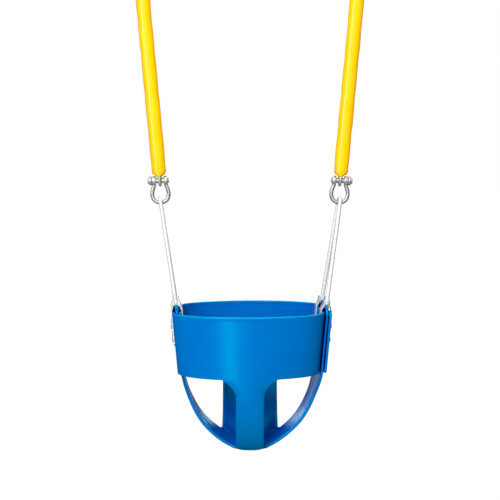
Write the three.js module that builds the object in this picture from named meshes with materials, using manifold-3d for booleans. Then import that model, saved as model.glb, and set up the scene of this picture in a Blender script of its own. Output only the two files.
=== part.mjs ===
// Toddler bucket swing: one-piece rubber seat bent up from a cross-shaped moulding, two steel
// triangle hangers, bow shackles and sleeved chains. Millimetres, +Z up, origin on the floor plane
// under the middle of the seat, +X to the sitter's left hand side, the front stem towards -Y.
// In mesh names 'right' is the +X side, which is on the right when seen from the front.
import * as THREE from 'three';
import { mergeVertices } from 'three/addons/utils/BufferGeometryUtils.js';
import Module from 'manifold-3d';

const { mapLinear, smoothstep, degToRad } = THREE.MathUtils;
const wasm = await Module();
wasm.setup();

// ---- shared dimensions ----
const RIM_Z = 292;             // top of the bands
const RIM_HALF = 158;          // half width to the middle of the strap at the rim
const SIDE_SLOPE = 0.0947;     // the sides lean outwards going up
const SKEW = 0.0875;           // the two laps stand turned about the vertical by this slope
const YAW = Math.atan(SKEW);
const TILT = Math.atan(SIDE_SLOPE * Math.cos(YAW));
const RIVET_R = 3;
const RIVET_Y = 30;            // rivets, plates and hanger feet stand this far from the lap's middle
const RIVET_ZS = [-31, -59.5]; // below the rim, upper and lower
const HOLE_CLEARANCE = 0.4;    // holes for rivets and pins, on the radius
const BOW_AXIS = { x: 191.6, z: 519.5 };   // bottom of the lower shackle's bow
const LOWER_PIN = { x: 193.5, z: 567.3 };  // lower shackle pin
const CHAIN_TILT = degToRad(5.37);
const CHAIN_LENGTH = 720;      // pin to pin

// The sides, each the other turned half a turn about Z
const SIDES = [{ side: 'left', turn: Math.PI }, { side: 'right', turn: 0 }];

// ---- materials ----
const finish = (settings) => new THREE.MeshStandardMaterial(settings);
const zinc = (settings) => finish({ color: 0xc9ccd0, ...settings });
const MATERIALS = {
  seat: finish({ color: 0x0073c8, roughness: 0.45, metalness: 0 }),
  sleeve: finish({ color: 0xffe000, roughness: 0.3, metalness: 0 }),
  plate: zinc({ roughness: 0.35, metalness: 0.9 }),
  rivet: zinc({ roughness: 0.3, metalness: 0.9 }),
  hanger: zinc({ roughness: 0.25, metalness: 0.95 }),
  bow: zinc({ roughness: 0.35, metalness: 0.95 }),
  pin: zinc({ roughness: 0.3, metalness: 0.95 }),
  link: zinc({ roughness: 0.35, metalness: 0.95 }),
  core: zinc({ roughness: 0.5, metalness: 0.8 }),
};

// ---- geometry helpers ----
function indexed(positions, indices) {
  const geometry = new THREE.BufferGeometry();
  geometry.setAttribute('position', new THREE.Float32BufferAttribute(positions, 3));
  geometry.setIndex(indices);
  return geometry;
}

// Shares vertices by position alone and drops the triangles that collapse.
function weld(source) {
  const bare = source.clone();
  for (const name of Object.keys(bare.attributes)) {
    if (name !== 'position') bare.deleteAttribute(name);
  }
  const merged = mergeVertices(bare, 1e-4);
  const corners = merged.index.array;
  const kept = [];
  for (let i = 0; i < corners.length; i += 3) {
    const [a, b, c] = corners.slice(i, i + 3);
    if (a !== b && b !== c && a !== c) kept.push(a, b, c);
  }
  merged.setIndex(kept);
  return merged;
}

// Flips every triangle if the closed surface faces inwards.
function outward(geometry) {
  const position = geometry.attributes.position;
  const corners = Array.from(geometry.index.array);
  const corner = (i) => new THREE.Vector3().fromBufferAttribute(position, corners[i]);
  let volume = 0;
  for (let i = 0; i < corners.length; i += 3) {
    volume += corner(i).dot(corner(i + 1).cross(corner(i + 2)));
  }
  if (volume < 0) {
    for (let i = 0; i < corners.length; i += 3) {
      [corners[i + 1], corners[i + 2]] = [corners[i + 2], corners[i + 1]];
    }
    geometry.setIndex(corners);
  }
  return geometry;
}

function toSolid(geometry) {
  const welded = weld(geometry);
  return new wasm.Manifold(new wasm.Mesh({
    numProp: 3,
    vertProperties: new Float32Array(welded.attributes.position.array),
    triVerts: new Uint32Array(welded.index.array),
  }));
}

function fromSolid(solid) {
  const { vertProperties, triVerts } = solid.getMesh();
  return indexed(vertProperties, Array.from(triVerts));
}

function placed(geometry, position, rotation = [0, 0, 0]) {
  const matrix = new THREE.Matrix4().compose(
    new THREE.Vector3(...position),
    new THREE.Quaternion().setFromEuler(new THREE.Euler(...rotation)),
    new THREE.Vector3(1, 1, 1),
  );
  return geometry.clone().applyMatrix4(matrix);
}

// Cylinder lying along X
const cylinderX = (radius, length, segments, position) =>
  placed(new THREE.CylinderGeometry(radius, radius, length, segments), position,
    [0, 0, Math.PI / 2]);
const boreX = (radius, length, position) =>
  toSolid(cylinderX(radius + HOLE_CLEARANCE, length, 12, position));

// Turned about Y from [radius, y] points
const lathe = (profile, segments) => outward(weld(
  new THREE.LatheGeometry(profile.map(([r, y]) => new THREE.Vector2(r, y)), segments)));
const latheX = (profile, segments) => lathe(profile, segments).rotateZ(-Math.PI / 2);

function extruded(outline, depth, position, rotation) {
  const shape = new THREE.Shape(outline.map(([x, y]) => new THREE.Vector2(x, y)));
  const geometry = new THREE.ExtrudeGeometry(shape, { depth, bevelEnabled: false, steps: 1 });
  return outward(weld(placed(geometry, position, rotation)));
}

// A rod swept along points that lie in the plane square to `normal`
function rod(points, radius, sides, { closed = false, normal }) {
  const count = points.length;
  const positions = [];
  const indices = [];
  points.forEach((point, i) => {
    const before = points[closed ? (i + count - 1) % count : Math.max(i - 1, 0)];
    const after = points[closed ? (i + 1) % count : Math.min(i + 1, count - 1)];
    const tangent = after.clone().sub(before).normalize();
    const sideways = new THREE.Vector3().crossVectors(tangent, normal).normalize();
    for (let k = 0; k < sides; k++) {
      const angle = (2 * Math.PI * (k + 0.5)) / sides;
      const vertex = point.clone()
        .addScaledVector(normal, radius * Math.cos(angle))
        .addScaledVector(sideways, radius * Math.sin(angle));
      positions.push(...vertex);
    }
  });
  for (let i = 0; i < (closed ? count : count - 1); i++) {
    const ring = i * sides;
    const nextRing = ((i + 1) % count) * sides;
    for (let k = 0; k < sides; k++) {
      const nextK = (k + 1) % sides;
      indices.push(ring + k, ring + nextK, nextRing + nextK);
      indices.push(ring + k, nextRing + nextK, nextRing + k);
    }
  }
  if (!closed) {
    const end = (count - 1) * sides;
    for (let k = 1; k < sides - 1; k++) {
      indices.push(0, k + 1, k);
      indices.push(end, end + k, end + k + 1);
    }
  }
  return outward(indexed(positions, indices));
}
const AXIS_X = new THREE.Vector3(1, 0, 0);
const AXIS_Y = new THREE.Vector3(0, 1, 0);

// Half a turn of points in the YZ plane, centred on Y = 0
const halfTurn = (radius, startAngle, steps, centreZ = 0) =>
  Array.from({ length: steps + 1 }, (_, i) => {
    const angle = startAngle + (Math.PI * i) / steps;
    return new THREE.Vector3(0, radius * Math.cos(angle), centreZ + radius * Math.sin(angle));
  });

const curveXZ = (points) => new THREE.CatmullRomCurve3(
  points.map(([x, z]) => new THREE.Vector3(x, 0, z)), false, 'centripetal');

// Adds the mirror image in X ahead of a list that starts on the middle line.
const mirroredX = (half) => [...half.slice(1).reverse().map(([x, z]) => [-x, z]), ...half];

// ---- seat moulding, laid out on its middle surface ----
const RUBBER_T = 6.4;
const BAND_BOTTOM_Z = 165;
const BAND_ROW_ZS = [RIM_Z, 250, 208, BAND_BOTTOM_Z];
const BAND_HALF_DEPTH = 114.5; // half depth to the middle of the bands
const FLAT_OUT = 56;           // where a band starts to curve, on the side where it lies outermost
const FLAT_IN = 39.5;          // and where it lies innermost, so that it leaves the stack early
const LAP_END = 54;            // how far a band end runs past the middle
const LAYER = 6.8;             // spacing of the lapped layers
const ARC_STEPS = 6;           // from a flat to the stem
const SKEW_FROM_X = 62;        // the skew of the laps fades in between these
const SKEW_FULL_X = 142;
const CAVITY_MIDDLE = new THREE.Vector3(0, 0, 170);

const FRONT_STEM = { stemHalf: 28.5, filletWidth: 28, filletDepth: 36 };
const BACK_STEM = { stemHalf: 60.5, filletWidth: 22, filletDepth: 40 };
const FILLET_POWER = 1.9;
const STEM_STEPS = [0, 0.025, 0.055, 0.09, 0.13, 0.2, 0.32, 0.46, 0.62, 0.8, 1];
const STEM_PULL_Z = 85;        // Bezier control points of the stem's fall from band to strap
const STEM_PULL_Y = -76;

const STRAP_HALF = 36;         // half width under the seat
const STRAP_WIDEN_Z = 110;     // above this it widens up to the bands
const STRAP_LAP_HALF = 52;     // half width between the bands
const STRAP_LAP_TOP_Z = RIM_Z - 2;
const STRAP_NECK_HALF = 46;    // half width above the rim
const STRAP_TOP_Z = 306;
const STRAP_TOP_HALF = STRAP_NECK_HALF - 5;

// Underside of the seat, from the middle outwards: x, z
const STRAP_CURVE = [
  [0, 3.2], [20, 3.9], [35, 6.8], [52, 14.9], [70.5, 27.6],
  [89.6, 44.2], [108.8, 66.8], [126.9, 100], [139.2, 134], [145.6, 161],
];
const strapSamples = curveXZ(STRAP_CURVE).getPoints(600);
function strapZ(signedX) {
  const x = Math.abs(signedX);
  const i = strapSamples.findIndex((sample, k) => k > 0 && sample.x >= x);
  const [a, b] = [strapSamples[i - 1], strapSamples[i]];
  return mapLinear(x, a.x, b.x, a.z, b.z);
}
const sideX = (z) => RIM_HALF + (z - RIM_Z) * SIDE_SLOPE;

// Strap stations x, z from the middle to the top; the stem columns use the first of them.
const STRAP_XS = [0, 14.25, 28.5, 44.5, 60.5, 76, 92, 107, 120, 131, 139.5];
const STRAP_SIDE_ZS = [BAND_BOTTOM_Z, 200, 246, STRAP_LAP_TOP_Z, RIM_Z + 4, STRAP_TOP_Z];
const STRAP_STATIONS = [
  ...STRAP_XS.map((x) => [x, strapZ(x)]),
  ...STRAP_SIDE_ZS.map((z) => [sideX(z), z]),
];

function strapHalfWidth(z) {
  if (z <= STRAP_WIDEN_Z) return STRAP_HALF;
  if (z < BAND_BOTTOM_Z) {
    return mapLinear(z, STRAP_WIDEN_Z, BAND_BOTTOM_Z, STRAP_HALF, STRAP_LAP_HALF);
  }
  if (z <= STRAP_LAP_TOP_Z) return STRAP_LAP_HALF;
  return z < STRAP_TOP_Z ? STRAP_NECK_HALF : STRAP_TOP_HALF;
}

const strapRows = () => mirroredX(STRAP_STATIONS).map(([x, z]) =>
  [-1, -0.5, 0, 0.5, 1].map((across) => [x, across * strapHalfWidth(z), z]));

// Y of the front band: a quarter ellipse out of each flat
function bandY(x, z) {
  const flat = x + LAYER < 0 ? FLAT_OUT : FLAT_IN;
  return -(flat + (BAND_HALF_DEPTH - flat) * Math.sqrt(1 - ((x + LAYER) / sideX(z)) ** 2));
}

// One row round the front band, from -X, where it lies outermost, to +X, where it lies innermost
function bandRow(z, stemXs) {
  const half = sideX(z);
  const angleAt = (x) => Math.acos((x + LAYER) / half);
  const onBand = (x) => [x, bandY(x, z), z];
  const arc = (from, to) => Array.from({ length: ARC_STEPS - 1 }, (_, i) => {
    const angle = from + (to - from) * ((i + 1) / ARC_STEPS);
    return onBand(-LAYER + half * Math.cos(angle));
  });
  return [
    ...[LAP_END, 17, -20, -FLAT_OUT].map((y) => [-half - LAYER, y, z]),
    ...arc(Math.PI, angleAt(stemXs[0])),
    ...stemXs.map(onBand),
    ...arc(angleAt(stemXs.at(-1)), 0),
    ...[-FLAT_IN, -8, 23, LAP_END].map((y) => [half - LAYER, y, z]),
  ];
}

const bezier = ([p0, p1, p2, p3], t) =>
  p0 * (1 - t) ** 3 + 3 * p1 * t * (1 - t) ** 2 + 3 * p2 * t * t * (1 - t) + p3 * t ** 3;

// One row across a stem, at t from the band's underside (0) to the strap's edge (1)
function stemRow(t, columns, { stemHalf, filletWidth, filletDepth }) {
  const fallTo = (z) => bezier([BAND_BOTTOM_Z, STEM_PULL_Z, z, z], t);
  const drop = BAND_BOTTOM_Z - fallTo(strapZ(0));
  const flare = Math.max(0, 1 - drop / filletDepth) ** FILLET_POWER;
  const halfWidth = stemHalf + filletWidth * flare;
  return columns.map((across) => {
    const topY = bandY(across * (stemHalf + filletWidth), BAND_BOTTOM_Z);
    return [
      across * halfWidth,
      bezier([topY, topY, STEM_PULL_Y, -STRAP_HALF], t),
      fallTo(strapZ(across * stemHalf)),
    ];
  });
}

function gridQuads(rows) {
  const quads = [];
  for (let j = 0; j + 1 < rows.length; j++) {
    for (let i = 0; i + 1 < rows[j].length; i++) {
      quads.push([rows[j][i], rows[j][i + 1], rows[j + 1][i + 1], rows[j + 1][i]]);
    }
  }
  return quads;
}

// A band with its stem, placed as the front one
function bandAndStem(stem) {
  const { stemHalf, filletWidth } = stem;
  const columns = mirroredX(STRAP_STATIONS.filter(([x]) => x <= stemHalf))
    .map(([x]) => x / stemHalf);
  const stemXs = columns.map((across) => across * (stemHalf + filletWidth));
  return [
    ...gridQuads(BAND_ROW_ZS.map((z) => bandRow(z, stemXs))),
    ...gridQuads(STEM_STEPS.map((t) => stemRow(t, columns, stem))),
  ];
}

const skewed = ([x, y, z]) =>
  [x - SKEW * y * smoothstep(Math.abs(x), SKEW_FROM_X, SKEW_FULL_X), y, z];
const quadNormal = ([a, b, c, d]) =>
  new THREE.Vector3().crossVectors(c.clone().sub(a), d.clone().sub(b));

// Joins the quads on shared vertices, each facing away from the cavity.
function joinQuads(quads) {
  const ids = new Map();
  const vertices = [];
  const vertexId = (point) => {
    const key = point.map((v) => Math.round(v * 1000)).join();
    if (!ids.has(key)) {
      ids.set(key, vertices.length);
      vertices.push(new THREE.Vector3(...point));
    }
    return ids.get(key);
  };
  const faces = quads.map((quad) => {
    const face = quad.map(skewed).map(vertexId);
    const corners = face.map((i) => vertices[i]);
    const fromMiddle = new THREE.Vector3();
    corners.forEach((corner) => fromMiddle.add(corner));
    fromMiddle.multiplyScalar(0.25).sub(CAVITY_MIDDLE);
    return quadNormal(corners).dot(fromMiddle) < 0 ? face.reverse() : face;
  });
  return { vertices, faces };
}

// Offsets the surface half the thickness each way and closes its open edges.
function thicken({ vertices, faces }, thickness) {
  const normals = vertices.map(() => new THREE.Vector3());
  for (const face of faces) {
    const normal = quadNormal(face.map((i) => vertices[i])).normalize();
    face.forEach((i) => normals[i].add(normal));
  }
  normals.forEach((normal) => normal.normalize());

  const positions = [1, -1].flatMap((sign) => vertices.flatMap((vertex, i) =>
    [...vertex.clone().addScaledVector(normals[i], (sign * thickness) / 2)]));
  const inner = vertices.length;
  const indices = [];
  const openEdges = new Map();
  for (const face of faces) {
    const [a, b, c, d] = face;
    indices.push(a, b, c, a, c, d);
    indices.push(inner + a, inner + c, inner + b, inner + a, inner + d, inner + c);
    face.forEach((from, k) => {
      const to = face[(k + 1) % 4];
      if (!openEdges.delete(`${to},${from}`)) openEdges.set(`${from},${to}`, [from, to]);
    });
  }
  for (const [a, b] of openEdges.values()) {
    indices.push(b, a, inner + a, b, inner + a, inner + b);
  }
  return outward(indexed(positions, indices));
}

// From the frame of a lap (origin on the rim, Z up the lap) to the world
const lapMatrix = (turn) => new THREE.Matrix4().makeRotationZ(turn)
  .multiply(new THREE.Matrix4().makeTranslation(RIM_HALF, 0, RIM_Z))
  .multiply(new THREE.Matrix4().makeRotationZ(YAW))
  .multiply(new THREE.Matrix4().makeRotationY(TILT));

// Slots in the top of the straps, where the hanger feet come down
const SLOT = { depthX: 20, width: 11.2, height: 30, bottomZ: 4.5 };

function seatMoulding() {
  const back = bandAndStem(BACK_STEM).map((quad) => quad.map(([x, y, z]) => [-x, -y, z]));
  const quads = [...bandAndStem(FRONT_STEM), ...back, ...gridQuads(strapRows())];
  let seat = toSolid(thicken(joinQuads(quads), RUBBER_T));
  const cut = (tool, turn) => {
    seat = seat.subtract(toSolid(tool.applyMatrix4(lapMatrix(turn))));
  };
  for (const { turn } of SIDES) {
    for (const y of [-RIVET_Y, RIVET_Y]) {
      for (const z of RIVET_ZS) cut(cylinderX(RIVET_R + HOLE_CLEARANCE, 40, 12, [0, y, z]), turn);
    }
  }
  const slot = new THREE.BoxGeometry(SLOT.depthX, SLOT.width, SLOT.height);
  for (const { turn } of SIDES) {
    for (const y of [-RIVET_Y, RIVET_Y]) {
      cut(placed(slot, [0, y, SLOT.bottomZ + SLOT.height / 2]), turn);
    }
  }
  return fromSolid(seat);
}

// ---- clamp plates and rivets, in the lap's frame ----
const PLATE_W = 18;
const PLATE_T = 2;
const PLATE_X = 10.5;          // face against the lap
const PLATE_TOP_X = 5.4;       // same face at the top, beside the hanger leg
const PLATE_TOP_Z = 23;
const PLATE_FOOT_Z = -74;
const FOOT_TRIM = { size: 12, y: 9.5, z: -76 }; // box on edge that takes off a lower corner

// Straight down the lap, drawn in above the rim to meet the hanger leg; sign +1 is outside
function clampPlate(sign) {
  const outline = [
    [PLATE_X, PLATE_FOOT_Z], [PLATE_X, 2], [PLATE_TOP_X, 14], [PLATE_TOP_X, PLATE_TOP_Z],
    [PLATE_TOP_X + PLATE_T, PLATE_TOP_Z], [PLATE_TOP_X + PLATE_T, 14.5],
    [PLATE_X + PLATE_T, 2.5], [PLATE_X + PLATE_T, PLATE_FOOT_Z],
  ].map(([x, z]) => [sign * x, z]);
  let plate = toSolid(extruded(outline, PLATE_W, [0, PLATE_W / 2, 0], [Math.PI / 2, 0, 0]));
  for (const z of RIVET_ZS) {
    plate = plate.subtract(boreX(RIVET_R, 8, [sign * (PLATE_X + PLATE_T / 2), 0, z]));
  }
  const trim = new THREE.BoxGeometry(20, FOOT_TRIM.size, FOOT_TRIM.size);
  for (const end of [-1, 1]) {
    const position = [sign * PLATE_X, end * FOOT_TRIM.y, FOOT_TRIM.z];
    plate = plate.subtract(toSolid(placed(trim, position, [Math.PI / 4, 0, 0])));
  }
  return fromSolid(plate);
}

function rivet() {
  const seatX = PLATE_X + PLATE_T + 0.3; // underside of the head
  // Half the rivet, shank to crown: radius, distance along the axis
  const half = [
    [RIVET_R, seatX], [7.2, seatX], [6, seatX + 1.5], [3.4, seatX + 2.5], [0, seatX + 2.7],
  ];
  return latheX([...half.map(([r, x]) => [r, -x]).reverse(), ...half], 12);
}

// ---- hanger: hairpin triangle of rod, its loop over the bow, its legs in the clamp plates ----
const HANGER_ROD_R = 4.3;
const HANGER_TILT = 0.1502;
const HANGER_FOOT_Z = RIM_Z + 7;
const HANGER_LOOP_R = 10.6;
const HANGER_BEND_RISE = 22;   // from the foot up to the bend in the leg

function hanger() {
  const footZ = -(BOW_AXIS.z - HANGER_FOOT_Z) / Math.cos(HANGER_TILT);
  const bendY = RIVET_Y - 0.3;
  const bendZ = footZ + HANGER_BEND_RISE;
  const leg = [[RIVET_Y, footZ]];
  for (const f of [0, 0.4, 0.72]) {
    leg.push([bendY - (bendY - HANGER_LOOP_R) * f, bendZ - bendZ * f]);
  }
  const points = [
    ...leg.map(([y, z]) => new THREE.Vector3(0, y, z)),
    ...halfTurn(HANGER_LOOP_R, 0, 10),
    ...leg.map(([y, z]) => new THREE.Vector3(0, -y, z)).reverse(),
  ];
  return rod(points, HANGER_ROD_R, 10, { normal: AXIS_X });
}

// ---- bow shackle about its pin: bow towards -Z, pin along X ----
const BOW_R = 4.35;
const PIN_R = 5.5;
const EAR_R = 10;
const EAR_IN = 8.2;            // inner and outer face of an ear
const EAR_OUT = 16.9;
// Centre line of the bow's -X half, from the bottom up to the ear: x, z
const BOW_HALF = [
  [0, -47.8], [-13.6, -41.5], [-17.6, -30], [-16.4, -20], [-12.9, -10], [-12.5, -2],
];

function shackleBow() {
  const points = curveXZ(mirroredX(BOW_HALF)).getPoints(26);
  let bow = toSolid(rod(points, BOW_R, 10, { normal: AXIS_Y }));
  for (const sign of [-1, 1]) {
    const position = [(sign * (EAR_IN + EAR_OUT)) / 2, 0, 0];
    bow = bow.add(toSolid(cylinderX(EAR_R, EAR_OUT - EAR_IN, 18, position)));
  }
  return fromSolid(bow.subtract(boreX(PIN_R, 50, [0, 0, 0])));
}

// Shank with a chamfered tip at -X, and a collar and a smaller boss at +X: radius, x
const shacklePin = () => latheX([
  [0, -19.5], [PIN_R - 1, -19.5], [PIN_R, -18.5], [PIN_R, EAR_OUT + 0.4],
  [9, EAR_OUT + 0.4], [9.7, EAR_OUT + 1.2], [9.7, EAR_OUT + 5], [9, EAR_OUT + 5.8],
  [6.6, EAR_OUT + 5.8], [6.6, EAR_OUT + 8.6], [5.8, EAR_OUT + 9.4], [0, EAR_OUT + 9.4],
], 16);

// ---- chain, Z running up it from the lower pin ----
const WIRE_R = 3.5;
const LINK_R = 9.75;           // bend radius to the middle of the wire
const LINK_STRAIGHT = 19.5;
const LINK_STEP = 2 * LINK_R + LINK_STRAIGHT - 2 * WIRE_R - 0.3; // one link to the next
const FIRST_LINK_Z = 0.25;
const LAST_LINK_Z = CHAIN_LENGTH - FIRST_LINK_Z - LINK_STRAIGHT;
const CORE_GAP = 1;            // from the core to the link beside it
const CORE_HALF_WIDTH = 12.6;
const CORE_FROM = FIRST_LINK_Z + LINK_STEP + LINK_STRAIGHT + LINK_R + WIRE_R + CORE_GAP;
const CORE_TO = LAST_LINK_Z - 2 * LINK_STEP - LINK_R - WIRE_R - CORE_GAP;
const SLEEVE_R = 15.7;
const SLEEVE_BORE = 13.6;      // radius
const SLEEVE_FROM = 12.4;
const SLEEVE_TO = CHAIN_LENGTH - 70;

// Name, z of the middle of the lower bend's arc, whether turned a quarter about the chain
const LINKS = [
  ['end_link_lower', FIRST_LINK_Z, false],
  ['sleeved_link_lower', FIRST_LINK_Z + LINK_STEP, true],
  ['sleeved_link_upper', LAST_LINK_Z - 2 * LINK_STEP, false],
  ['bare_link_upper', LAST_LINK_Z - LINK_STEP, true],
  ['end_link_upper', LAST_LINK_Z, false],
];

// Lies in the YZ plane
function chainLink() {
  const points = [...halfTurn(LINK_R, Math.PI, 6), ...halfTurn(LINK_R, 0, 6, LINK_STRAIGHT)];
  return rod(points, WIRE_R, 8, { closed: true, normal: AXIS_X });
}

// The run of links inside the sleeve, simplified to a bar of their crossed section
function chainCore() {
  const w = CORE_HALF_WIDTH;
  const t = WIRE_R;
  const outline = [
    [w, -t], [w, t], [t, t], [t, w], [-t, w], [-t, t],
    [-w, t], [-w, -t], [-t, -t], [-t, -w], [t, -w], [t, -t],
  ];
  return extruded(outline, CORE_TO - CORE_FROM, [0, 0, CORE_FROM]);
}

// Open tube with eased ends: radius, z
const chainSleeve = () => placed(lathe([
  [SLEEVE_BORE, SLEEVE_FROM + 0.6], [SLEEVE_BORE + 0.6, SLEEVE_FROM],
  [SLEEVE_R - 0.9, SLEEVE_FROM + 0.2], [SLEEVE_R, SLEEVE_FROM + 1.6],
  [SLEEVE_R, SLEEVE_TO - 1.6], [SLEEVE_R - 0.9, SLEEVE_TO - 0.2],
  [SLEEVE_BORE + 0.6, SLEEVE_TO], [SLEEVE_BORE, SLEEVE_TO - 0.6],
  [SLEEVE_BORE, SLEEVE_FROM + 0.6],
], 20), [0, 0, 0], [Math.PI / 2, 0, 0]);

// ---- assembly ----
function addMesh(parent, name, geometry, material, position = [0, 0, 0]) {
  const mesh = new THREE.Mesh(geometry, material);
  mesh.name = name;
  mesh.position.set(...position);
  parent.add(mesh);
  return mesh;
}

function addGroup(parent, x = 0, z = 0) {
  const group = new THREE.Group();
  group.position.set(x, 0, z);
  parent.add(group);
  return group;
}

function addLap(half, side, turn) {
  const lap = addGroup(half, RIM_HALF, RIM_Z);
  lap.rotation.set(0, TILT, YAW, 'ZYX');
  // Front and rear are named in the world, so the half that is turned round swaps them.
  const frontY = turn === 0 ? -RIVET_Y : RIVET_Y;
  for (const [leg, y] of [['front', frontY], ['rear', -frontY]]) {
    for (const [face, sign] of [['inner', -1], ['outer', 1]]) {
      const name = `plate_${side}_${leg}_${face}`;
      addMesh(lap, name, clampPlate(sign), MATERIALS.plate, [0, y, 0]);
    }
    ['upper', 'lower'].forEach((level, i) => {
      const name = `rivet_${side}_${leg}_${level}`;
      addMesh(lap, name, rivet(), MATERIALS.rivet, [0, y, RIVET_ZS[i]]);
    });
  }
}

function addShackle(half, side, level, x, z) {
  const shackle = addGroup(half, x, z);
  addMesh(shackle, `${level}_shackle_bow_${side}`, shackleBow(), MATERIALS.bow);
  addMesh(shackle, `${level}_shackle_pin_${side}`, shacklePin(), MATERIALS.pin);
  return shackle;
}

function addChain(half, side) {
  const chain = addGroup(half, LOWER_PIN.x, LOWER_PIN.z);
  chain.rotation.y = CHAIN_TILT;
  for (const [name, z, turned] of LINKS) {
    const link = addMesh(chain, `${name}_${side}`, chainLink(), MATERIALS.link, [0, 0, z]);
    link.rotation.z = turned ? Math.PI / 2 : 0;
  }
  addMesh(chain, `chain_core_${side}`, chainCore(), MATERIALS.core);
  addMesh(chain, `chain_sleeve_${side}`, chainSleeve(), MATERIALS.sleeve);
}

const root = new THREE.Group();
addMesh(root, 'seat_moulding', seatMoulding(), MATERIALS.seat);

for (const { side, turn } of SIDES) {
  const half = addGroup(root);
  half.rotation.z = turn;
  addLap(half, side, turn);

  const hang = addGroup(half, BOW_AXIS.x, BOW_AXIS.z);
  hang.rotation.set(0, HANGER_TILT, YAW);
  addMesh(hang, `hanger_${side}`, hanger(), MATERIALS.hanger);

  const lower = addShackle(half, side, 'lower', LOWER_PIN.x, LOWER_PIN.z);
  lower.rotation.y = Math.atan2(LOWER_PIN.x - BOW_AXIS.x, LOWER_PIN.z - BOW_AXIS.z);

  addChain(half, side);

  const top = addShackle(half, side, 'top',
    LOWER_PIN.x + CHAIN_LENGTH * Math.sin(CHAIN_TILT),
    LOWER_PIN.z + CHAIN_LENGTH * Math.cos(CHAIN_TILT));
  top.rotation.x = Math.PI; // bow upwards
}

export default root;
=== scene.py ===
"""Rubber swing seat on two sleeved chains, with its shackles, hangers and studio.

X runs across the seat (left is -X, right is +X), the front is -Y and Z is up. The origin lies
under the middle of the seat. Shapes are built in millimetres and stored in metres.
A U-shaped strap runs from side to side. A front and a back band close the seat at the top, and
each has a stem down to the strap. The bands lap the strap at both sides, where the hangers hold.
"""

import math

import bmesh
import bpy
from mathutils import Matrix, Vector


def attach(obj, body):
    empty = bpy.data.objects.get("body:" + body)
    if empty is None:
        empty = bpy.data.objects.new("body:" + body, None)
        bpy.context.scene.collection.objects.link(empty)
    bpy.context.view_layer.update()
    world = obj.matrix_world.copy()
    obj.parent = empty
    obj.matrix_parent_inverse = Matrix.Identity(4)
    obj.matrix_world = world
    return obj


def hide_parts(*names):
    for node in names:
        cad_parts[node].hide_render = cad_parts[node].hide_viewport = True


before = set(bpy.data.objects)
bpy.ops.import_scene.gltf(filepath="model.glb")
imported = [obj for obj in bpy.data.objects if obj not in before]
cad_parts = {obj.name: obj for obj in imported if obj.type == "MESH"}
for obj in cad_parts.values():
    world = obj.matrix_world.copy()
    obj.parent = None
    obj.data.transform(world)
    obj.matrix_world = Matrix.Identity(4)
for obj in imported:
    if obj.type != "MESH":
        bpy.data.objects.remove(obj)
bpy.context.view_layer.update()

MM = 0.001

# ---- driving dimensions, millimetres ----
# rubber moulding; surfaces are set out at mid thickness
RUBBER_T = 6.4
RIM_Z = 292.0
RIM_HALF = 158.0            # half the seat's width at the rim
SIDE_SLOPE = 0.0947         # outward lean of the sides, x per z
BAND_BOTTOM_Z = 165.0
BAND_HALF_DEPTH = 114.5
FLAT_OUT = 56.0             # |y| where a band's outer lap begins to curve
FLAT_IN = 39.5              # the same for its inner lap
LAP_END = 54.0
LAYER = 6.8                 # spacing of the lapped layers
SKEW = 0.0875               # turn of the laps, x per y
STRAP_HALF = 36.0
STRAP_LAP_HALF = 52.0
TENT_Z = 306.0              # top of the strap, above the rim
TENT_HALF = 46.0
FRONT_STEM_HALF = 28.5
BACK_STEM_HALF = 60.5
STEM_FOOT = 8.0             # fillet radius where a stem meets the strap
SLOT_Z = 4.5                # bottom of the hanger slots, from the rim
SLOT_R = 5.6
# hangers, plates and rivets
ROD_R = 4.3
HANG_TILT = 0.1502
HANGER_FOOT_Z = RIM_Z + 7
RIVET_R = 3.0
RIVET_Y = 30.0
RIVET_ZS = (-31.0, -59.5)   # upper and lower, from the rim
PLATE_X = 10.5
PLATE_T = 2.0
# shackles
BOW_R = 4.35
PIN_R = 5.5
EAR_R = 10.0
EAR_IN = 8.2
EAR_OUT = 16.9
LOWER_PIN = (193.5, 567.3)  # x, z of the lower shackle's pin
BOW_AXIS = (191.6, 519.5)   # x, z of the centre of the hanger's top loop
HOLE_CLEARANCE = 0.35
# chains and sleeves
CHAIN_TILT = math.radians(5.37)
CHAIN_LEN = 720
WIRE_R = 3.5
LINK_R = 9.75
LINK_STRAIGHT = 19.5
LINK_STEP = 2 * LINK_R + LINK_STRAIGHT - 2 * WIRE_R - 0.3   # from one link to the next
FIRST_LINK = 0.25
LAST_LINK = CHAIN_LEN - FIRST_LINK - LINK_STRAIGHT
SLEEVE_R = 15.7
SLEEVE_WALL = 2.1
SLEEVE_TO = CHAIN_LEN - 70


def turn(angle, axis):
    return Matrix.Rotation(angle, 4, axis)


def move(x, y, z):
    return Matrix.Translation((x, y, z))


YAW = math.atan(SKEW)
LAP_TILT = math.atan(SIDE_SLOPE * math.cos(YAW))
LAP_TURN = turn(YAW, "Z") @ turn(LAP_TILT, "Y")
HANG_TURN = turn(HANG_TILT, "Y") @ turn(YAW, "Z")
QUARTER_TURN = turn(math.pi / 2, "Z")


# ---- shader helpers; node inputs are given as a socket to link or a value to set ----
BLACK = (0, 0, 0)
WHITE = (1, 1, 1)


def grey(value):
    return (value,) * 3


def set_inputs(tree, node, values):
    for name, value in values.items():
        if isinstance(value, bpy.types.NodeSocket):
            tree.links.new(value, node.inputs[name])
        else:
            node.inputs[name].default_value = value


def add(tree, kind, inputs=None, **settings):
    node = tree.nodes.new(kind)
    for name, value in settings.items():
        setattr(node, name, value)
    set_inputs(tree, node, inputs or {})
    return node


def new_material(name):
    material = bpy.data.materials.new(name)
    material.use_nodes = True
    tree = material.node_tree
    return material, tree, tree.nodes["Principled BSDF"]


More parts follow.
